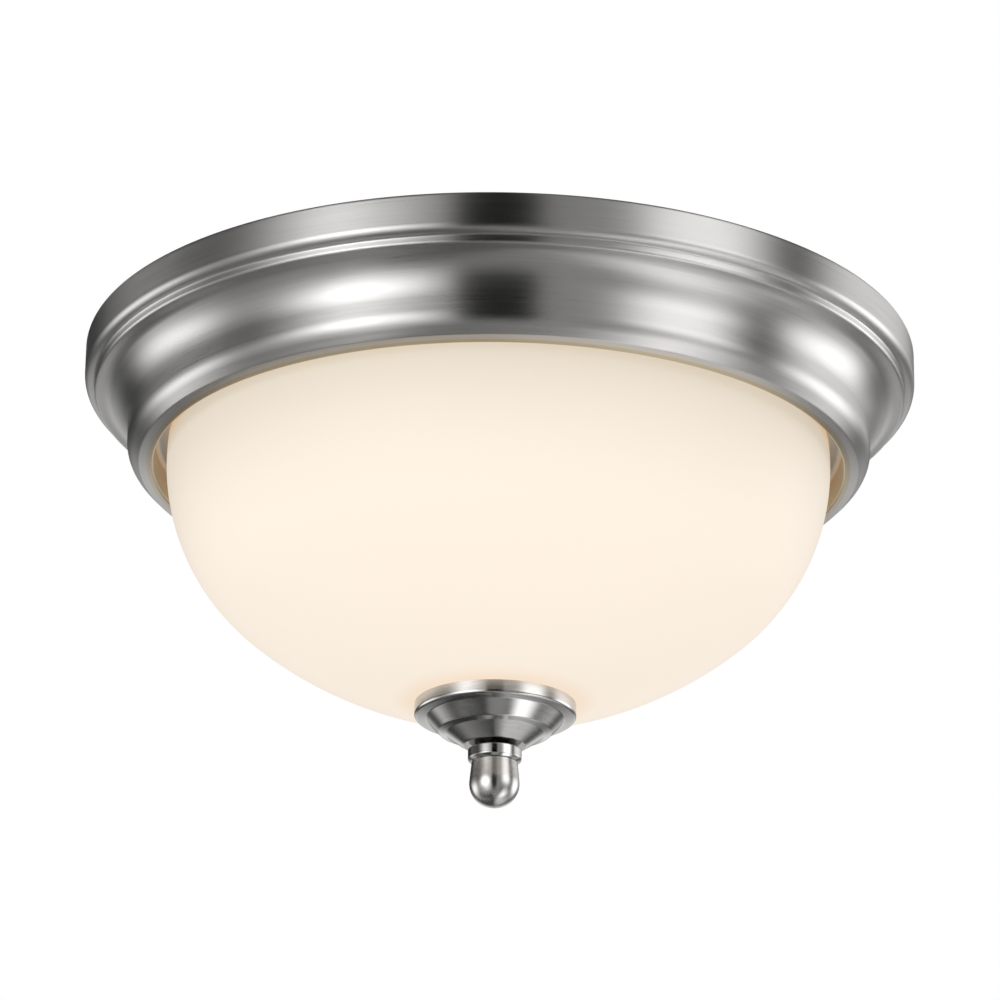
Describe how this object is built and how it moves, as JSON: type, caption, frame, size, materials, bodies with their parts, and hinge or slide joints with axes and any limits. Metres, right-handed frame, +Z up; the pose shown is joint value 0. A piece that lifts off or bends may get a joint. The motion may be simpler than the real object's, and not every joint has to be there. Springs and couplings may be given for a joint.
{
  "type": "flush mount ceiling light",
  "caption": "Round brushed nickel flush mount ceiling light: stepped spun pan, domed opal glass bowl held on a centre rod by a stepped cap and acorn finial, lampholders inside.",
  "frame": {"origin": "centre of the ceiling plane, on the top face of the mounting strap", "axes": "+Z straight up along the centre rod into the ceiling, +X along the mounting strap"},
  "size_m": [0.33, 0.33, 0.185],
  "materials": {
    "brushed_nickel": "fine circular brushing, satin, clear coated",
    "polished_nickel": "polished, lightly satin",
    "opal_glass": "acid etched opal white glass, matt, lit warm from inside",
    "frosted_glass": "frosted white lamp glass",
    "zinc_steel": "zinc plated, dull",
    "green_screw": "green coated",
    "heat_pad": "matt glass fibre mat",
    "black_nylon": "moulded, matt",
    "brass": "stamped, satin",
    "porcelain": "glazed white ceramic",
    "lamp_aluminium": "rolled, bright",
    "black_glass": "glossy fused glass",
    "solder": "dull solder",
    "clear_rubber": "soft translucent rubber",
    "white_felt": "pressed felt"
  },
  "bodies": {
    "pan": {"ceiling_pan": "brushed_nickel", "insulation_pad": "heat_pad", "mounting_strap": "zinc_steel", "ground_screw": "green_screw", "centre_rod": "zinc_steel", "strap_nut": "zinc_steel", "deck_washer": "zinc_steel", "deck_nut": "zinc_steel", "socket_bracket": "zinc_steel", "bracket_rivets": "zinc_steel", "wire_bushings": "black_nylon", "socket_screws": "zinc_steel", "terminal_screws": "brass", "socket_1_body": "porcelain", "socket_1_shell": "brass", "socket_1_contact": "brass", "socket_2_body": "porcelain", "socket_2_shell": "brass", "socket_2_contact": "brass"},
    "bowl": {"glass_bowl": "opal_glass", "bowl_grommet": "clear_rubber"},
    "cap": {"finial_cap": "brushed_nickel", "cap_gasket": "white_felt"},
    "finial": {"finial_collar": "polished_nickel", "finial_knob": "brushed_nickel"},
    "lamp_1": {"lamp_1_globe": "frosted_glass", "lamp_1_base": "lamp_aluminium", "lamp_1_insulator": "black_glass", "lamp_1_tip": "solder"},
    "lamp_2": {"lamp_2_globe": "frosted_glass", "lamp_2_base": "lamp_aluminium", "lamp_2_insulator": "black_glass", "lamp_2_tip": "solder"}
  },
  "joints": [
    {"name": "bowl_drop", "type": "slide", "parent": "pan", "child": "bowl", "axis": [0, 0, -1], "range_m": [0, 0.15]},
    {"name": "cap_drop", "type": "slide", "parent": "bowl", "child": "cap", "axis": [0, 0, -1], "range_m": [0, 0.01315]},
    {"name": "finial_turn", "type": "hinge", "parent": "cap", "child": "finial", "pos_m": [0, 0, -0.17], "axis": [0, 0, -1], "range_deg": [0, 5040]},
    {"name": "lamp_1_out", "type": "slide", "parent": "pan", "child": "lamp_1", "axis": [1, 0, 0], "range_m": [0, 0.028]},
    {"name": "lamp_2_out", "type": "slide", "parent": "pan", "child": "lamp_2", "axis": [-1, 0, 0], "range_m": [0, 0.028]}
  ],
  "couplings": [
    {"joint": "finial_turn", "follows": "cap_drop", "rad_per_m": 6684.2}
  ]
}
